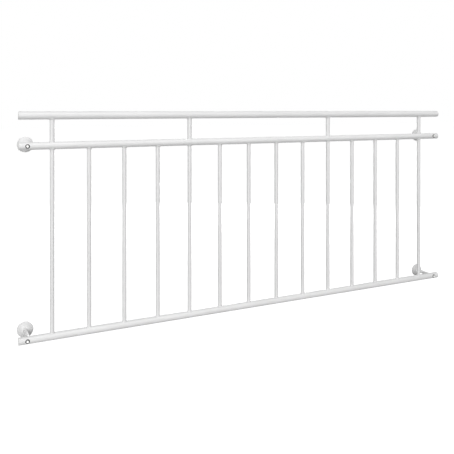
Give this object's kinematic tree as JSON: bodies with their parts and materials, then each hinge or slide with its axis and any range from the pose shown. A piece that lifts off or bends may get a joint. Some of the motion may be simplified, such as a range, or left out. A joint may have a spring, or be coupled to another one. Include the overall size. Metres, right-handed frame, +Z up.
{
  "type": "juliet balcony railing",
  "caption": "White welded tube railing held on a wall in front of a tall window: round handrail on short posts, two cross rails, upright balusters, bracket stems under domed rosettes.",
  "frame": {"origin": "centre of the wall face of the lower left bracket", "axes": "+X along the railing to the right as seen from outside, +Y into the wall, +Z up"},
  "size_m": [2, 0.125, 0.866],
  "materials": {
    "tube_powder_coat": "white powder coat, semi-gloss, on steel tube",
    "cap_plastic": "white moulded plastic, satin",
    "bracket_powder_coat": "white powder coat, semi-gloss, on steel bar and plate",
    "rosette_powder_coat": "white powder coat, semi-gloss, on spun sheet steel"
  },
  "bodies": {
    "root": {"handrail": "tube_powder_coat", "upper_rail": "tube_powder_coat", "lower_rail": "tube_powder_coat", "baluster_01": "tube_powder_coat", "baluster_02": "tube_powder_coat", "baluster_03": "tube_powder_coat", "baluster_04": "tube_powder_coat", "baluster_05": "tube_powder_coat", "baluster_06": "tube_powder_coat", "baluster_07": "tube_powder_coat", "baluster_08": "tube_powder_coat", "baluster_09": "tube_powder_coat", "baluster_10": "tube_powder_coat", "baluster_11": "tube_powder_coat", "baluster_12": "tube_powder_coat", "baluster_13": "tube_powder_coat", "baluster_14": "tube_powder_coat", "handrail_post_1": "tube_powder_coat", "handrail_post_2": "tube_powder_coat", "handrail_post_3": "tube_powder_coat", "handrail_post_4": "tube_powder_coat", "handrail_cap_left": "cap_plastic", "handrail_cap_right": "cap_plastic", "upper_rail_cap_left": "cap_plastic", "upper_rail_cap_right": "cap_plastic", "lower_rail_cap_left": "cap_plastic", "lower_rail_cap_right": "cap_plastic", "wall_bracket_lower_left": "bracket_powder_coat", "wall_bracket_lower_right": "bracket_powder_coat", "wall_bracket_upper_left": "bracket_powder_coat", "wall_bracket_upper_right": "bracket_powder_coat", "cover_rosette_lower_left": "rosette_powder_coat", "cover_rosette_lower_right": "rosette_powder_coat", "cover_rosette_upper_left": "rosette_powder_coat", "cover_rosette_upper_right": "rosette_powder_coat"}
  },
  "joints": []
}
